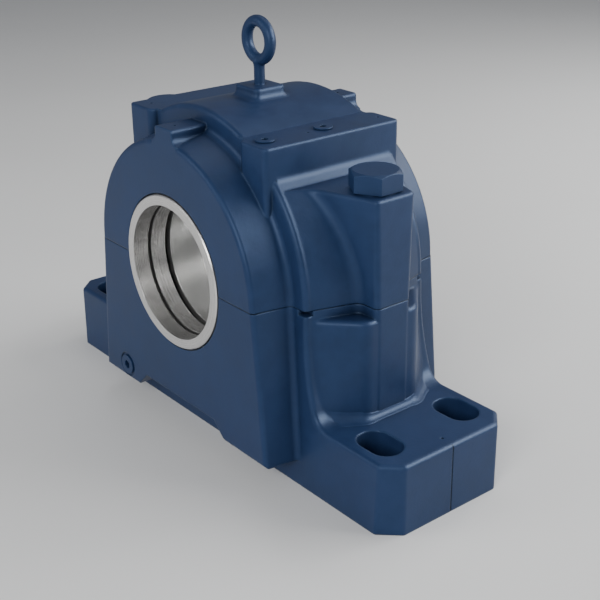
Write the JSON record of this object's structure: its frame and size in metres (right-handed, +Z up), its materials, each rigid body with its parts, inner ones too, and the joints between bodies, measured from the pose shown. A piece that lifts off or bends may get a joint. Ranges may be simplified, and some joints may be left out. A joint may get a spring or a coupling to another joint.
{
  "type": "split plummer block",
  "caption": "Split cast-iron plummer block with slotted feet, bolted cap, lifting eye, labyrinth seals and a spherical roller bearing on an adapter sleeve.",
  "frame": {"origin": "centre of the footprint on the mounting plane, under the middle of the shaft", "axes": "+Z up, Y along the shaft with the nut end at -Y, X along the feet"},
  "size_m": [0.575, 0.2368, 0.432],
  "materials": {
    "cast_paint": "satin dark blue paint over sand-cast iron",
    "fastener_paint": "satin dark blue paint",
    "machined_iron": "machined",
    "ground_steel": "ground",
    "ring_steel": "ground bearing steel",
    "roller_steel": "ground and honed",
    "cage_brass": "machined",
    "sleeve_steel": "turned",
    "seal_steel": "turned",
    "cord_rubber": "matt"
  },
  "bodies": {
    "housing": {"housing_base": "cast_paint", "housing_cap": "cast_paint", "cap_bolt_right": "fastener_paint", "cap_bolt_left": "fastener_paint", "eye_bolt": "fastener_paint", "grease_plug_front": "fastener_paint", "grease_plug_middle": "fastener_paint", "drain_plug": "fastener_paint", "dowel_pin_front": "ground_steel", "dowel_pin_rear": "ground_steel", "outer_ring": "ring_steel", "locating_ring_front": "machined_iron", "locating_ring_rear": "machined_iron"},
    "rotor": {"adapter_sleeve": "sleeve_steel", "lock_washer": "sleeve_steel", "lock_nut": "sleeve_steel", "inner_ring": "ring_steel", "labyrinth_ring_front": "seal_steel", "labyrinth_ring_rear": "seal_steel", "seal_cord_front": "cord_rubber", "seal_cord_rear": "cord_rubber"},
    "roller_cage": {"cage": "cage_brass", "guide_ring": "ground_steel", "rollers_front": "roller_steel", "rollers_rear": "roller_steel"}
  },
  "joints": [
    {"name": "shaft_turn", "type": "hinge", "parent": "housing", "child": "rotor", "pos_m": [0, 0, 0.188], "axis": [0, 1, 0], "continuous": true},
    {"name": "cage_turn", "type": "hinge", "parent": "housing", "child": "roller_cage", "pos_m": [0, 0, 0.188], "axis": [0, 1, 0], "continuous": true}
  ],
  "couplings": [
    {"joint": "cage_turn", "follows": "shaft_turn", "ratio": 0.4253}
  ]
}
